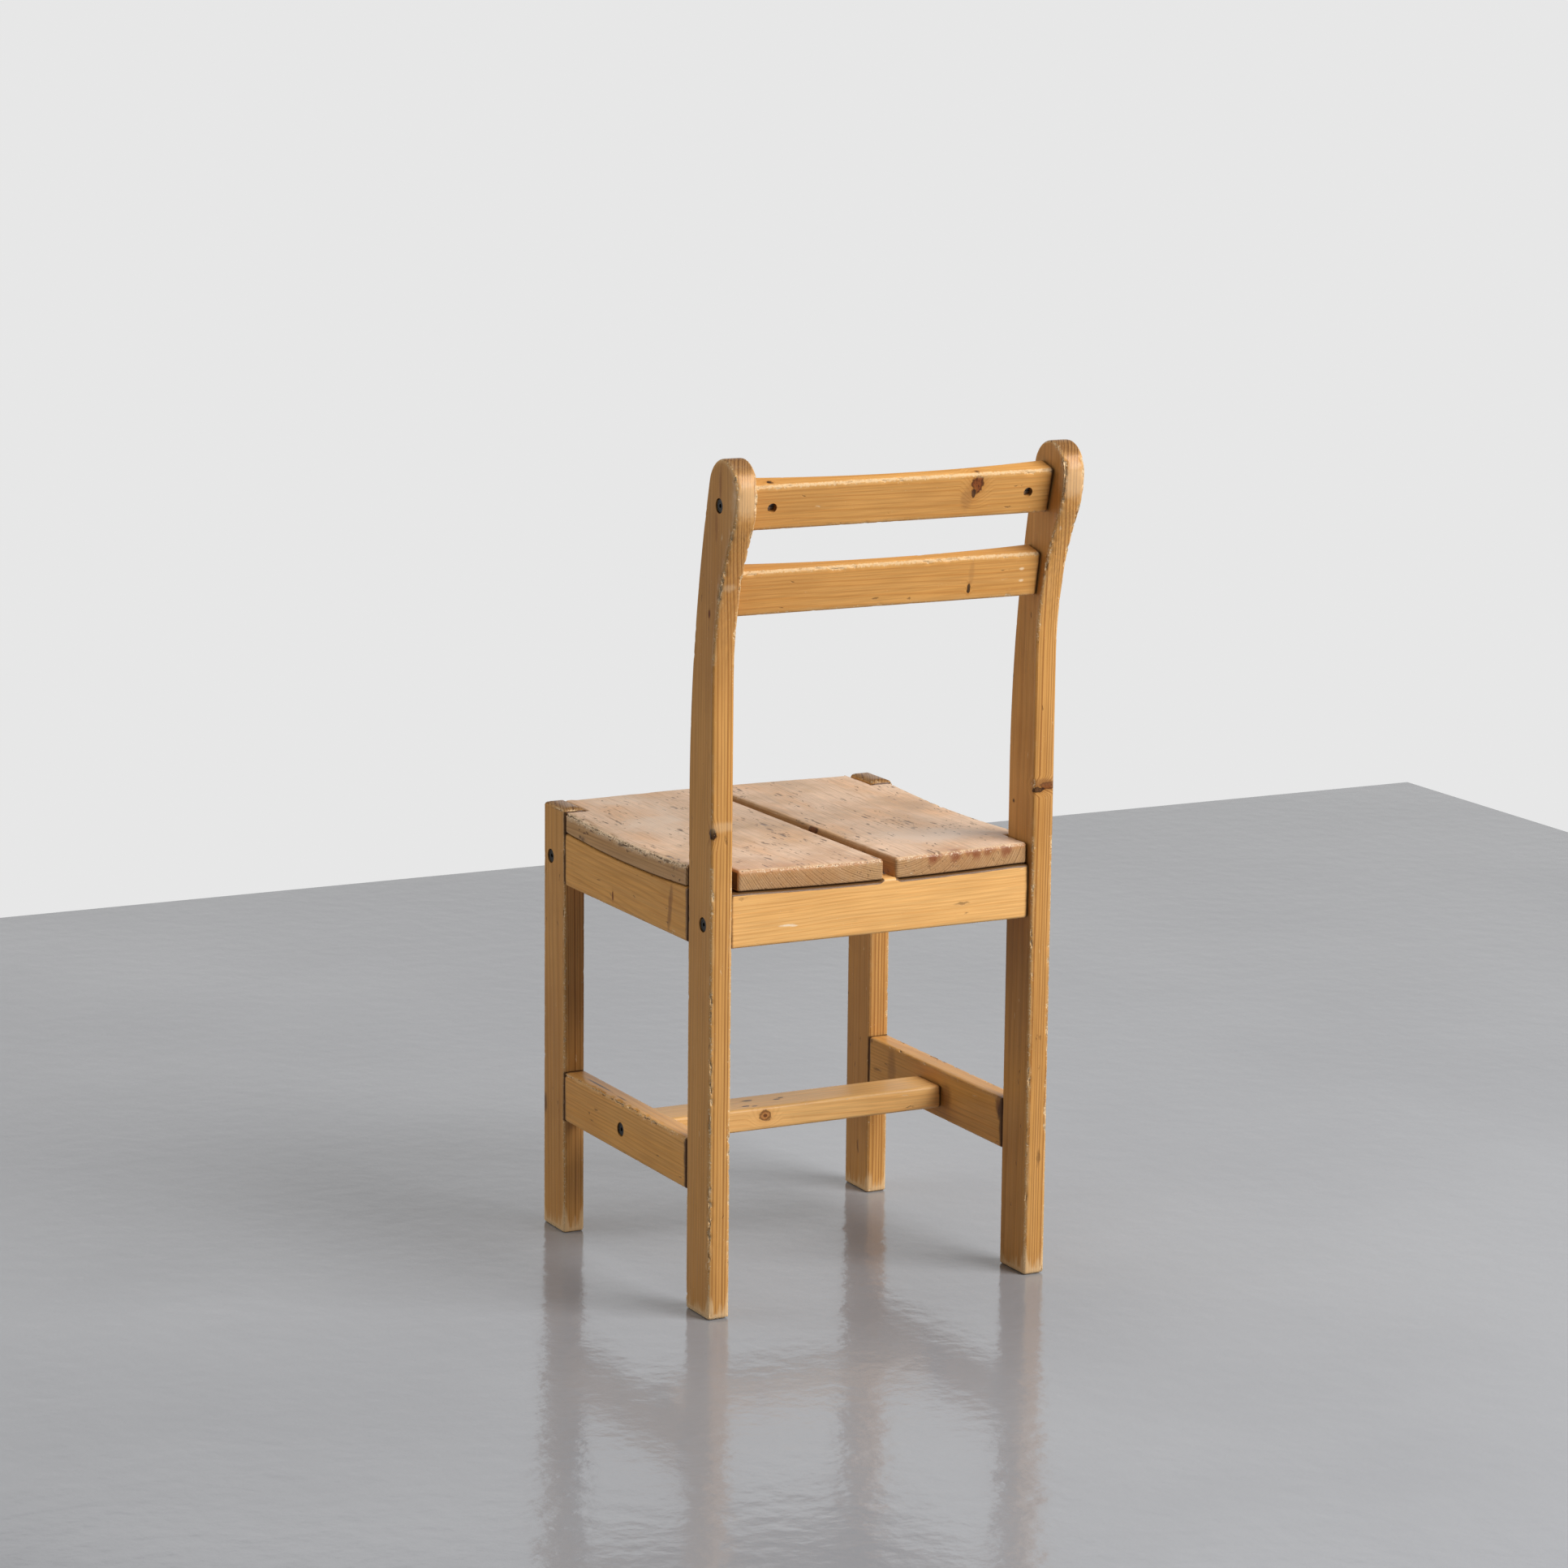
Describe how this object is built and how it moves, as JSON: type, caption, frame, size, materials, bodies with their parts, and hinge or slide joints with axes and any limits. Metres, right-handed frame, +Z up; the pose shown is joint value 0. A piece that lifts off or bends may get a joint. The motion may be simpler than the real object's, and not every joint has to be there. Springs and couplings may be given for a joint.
{
  "type": "pine dining chair",
  "caption": "Worn, varnished pine chair with bolted side frames, a dished two-board seat and a hollowed two-rail back.",
  "frame": {"origin": "on the floor, under the middle of the whole chair's box", "axes": "+Z up, -Y towards the front of the seat, +X to the sitter's left"},
  "size_m": [0.386, 0.453, 0.864],
  "materials": {
    "varnished_pine": "old honey varnish, satin, rubbed pale along the edges",
    "worn_seat_pine": "varnish worn to a matt, pinkish tan with dark dents",
    "blackened_steel": "blackened",
    "plain_steel": "dull zinc",
    "dowel_wood": "bare beech"
  },
  "bodies": {
    "root": {"front_leg_left": "varnished_pine", "front_leg_right": "varnished_pine", "rear_leg_left": "varnished_pine", "rear_leg_right": "varnished_pine", "side_rail_left": "varnished_pine", "side_rail_right": "varnished_pine", "side_stretcher_left": "varnished_pine", "side_stretcher_right": "varnished_pine", "front_rail": "varnished_pine", "rear_rail": "varnished_pine", "cross_stretcher": "varnished_pine", "crest_rail": "varnished_pine", "back_slat": "varnished_pine", "seat_board_left": "worn_seat_pine", "seat_board_right": "worn_seat_pine", "connector_bolts": "blackened_steel", "barrel_nuts": "plain_steel", "seat_screws": "plain_steel", "frame_dowels": "dowel_wood", "cross_dowels": "dowel_wood", "slat_dowels": "dowel_wood"}
  },
  "joints": []
}
